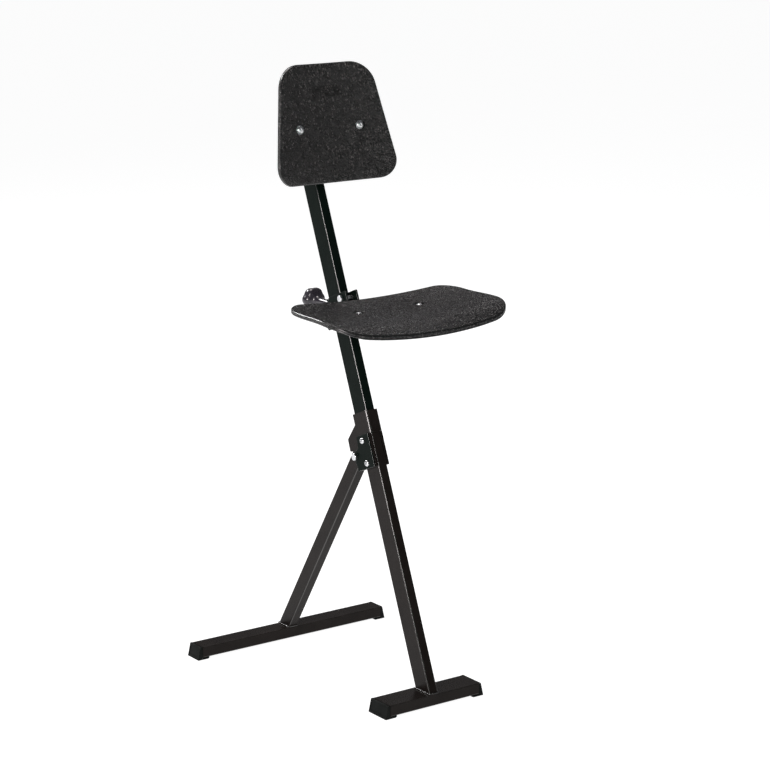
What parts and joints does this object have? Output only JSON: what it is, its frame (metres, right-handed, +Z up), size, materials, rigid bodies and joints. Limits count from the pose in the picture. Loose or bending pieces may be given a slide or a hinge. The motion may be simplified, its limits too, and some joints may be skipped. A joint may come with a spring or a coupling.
{
  "type": "folding sit-stand stool",
  "caption": "Folding sit-stand stool with a raked post on a short foot, a hinged rear leg, a seat that slides on the post and a tilting backrest.",
  "frame": {"origin": "on the floor, in the middle of the footprint", "axes": "+Z up, -Y the way the user faces, +X to the user's left"},
  "size_m": [0.4494, 0.515, 1.1648],
  "materials": {
    "frame_coat": "satin black powder coat with a brown cast",
    "post_coat": "satin black powder coat with a green cast",
    "shell_skin": "moulded black skin with a pebble grain",
    "cap_plastic": "satin moulded black plastic",
    "knob_plastic": "polished dark grey thermoset",
    "zinc_plate": "bright zinc plate",
    "rubber_buffer": "matt black rubber"
  },
  "bodies": {
    "frame": {"backrest_arm_left": "frame_coat", "backrest_arm_nut_lower": "zinc_plate", "backrest_arm_nut_upper": "zinc_plate", "backrest_arm_right": "frame_coat", "backrest_arm_screw_lower": "zinc_plate", "backrest_arm_screw_upper": "zinc_plate", "backrest_pivot_bolt": "zinc_plate", "backrest_pivot_nut": "zinc_plate", "backrest_pivot_spacer": "zinc_plate", "front_foot_cap_left": "cap_plastic", "front_foot_cap_right": "cap_plastic", "front_foot_tube": "frame_coat", "front_post_insert": "zinc_plate", "front_post_lower_tube": "frame_coat", "front_post_top_plug": "cap_plastic", "front_post_upper_tube": "post_coat", "hinge_bolt_lower": "zinc_plate", "hinge_bolt_upper": "zinc_plate", "hinge_bracket": "frame_coat", "hinge_cheek_left": "post_coat", "hinge_cheek_right": "post_coat", "hinge_nut_lower": "zinc_plate", "hinge_nut_upper": "zinc_plate", "leg_pivot_bolt": "zinc_plate", "leg_pivot_nut": "zinc_plate"},
    "rear_leg": {"leg_pivot_bush": "zinc_plate", "rear_foot_cap_left": "cap_plastic", "rear_foot_cap_right": "cap_plastic", "rear_foot_tube": "frame_coat", "rear_leg_top_plug": "cap_plastic", "rear_leg_tube": "frame_coat"},
    "seat_carrier": {"clamp_bolt_lower": "zinc_plate", "clamp_bolt_upper": "zinc_plate", "clamp_nut_lower": "zinc_plate", "clamp_nut_upper": "zinc_plate", "clamp_web": "post_coat", "clamp_weld_nut": "post_coat", "seat_arm_left": "post_coat", "seat_arm_right": "post_coat", "seat_buffer_left": "rubber_buffer", "seat_buffer_right": "rubber_buffer", "seat_cross_plate": "frame_coat", "seat_nut_left": "zinc_plate", "seat_nut_right": "zinc_plate", "seat_screw_left": "zinc_plate", "seat_screw_right": "zinc_plate", "seat_shell": "shell_skin"},
    "clamp_knob": {"clamp_knob": "knob_plastic", "clamp_pressure_pad": "cap_plastic", "clamp_stud": "zinc_plate"},
    "backrest": {"backrest_nut_left": "zinc_plate", "backrest_nut_right": "zinc_plate", "backrest_plate": "frame_coat", "backrest_screw_left": "zinc_plate", "backrest_screw_right": "zinc_plate", "backrest_shell": "shell_skin"}
  },
  "joints": [
    {"name": "rear_leg_fold", "type": "hinge", "parent": "frame", "child": "rear_leg", "pos_m": [0, -0.02623, 0.43525], "axis": [-1, 0, 0], "range_deg": [0, 52.5]},
    {"name": "seat_height", "type": "slide", "parent": "frame", "child": "seat_carrier", "axis": [0, 0.3736, 0.9276], "range_m": [-0.16, 0.12]},
    {"name": "clamp_knob_turn", "type": "hinge", "parent": "seat_carrier", "child": "clamp_knob", "pos_m": [0, 0.0851, 0.71], "axis": [0, 1, 0], "range_deg": [0, 300]},
    {"name": "backrest_tilt", "type": "hinge", "parent": "frame", "child": "backrest", "pos_m": [0, 0.1119, 1.04114], "axis": [1, 0, 0], "range_deg": [-12, 12]}
  ]
}
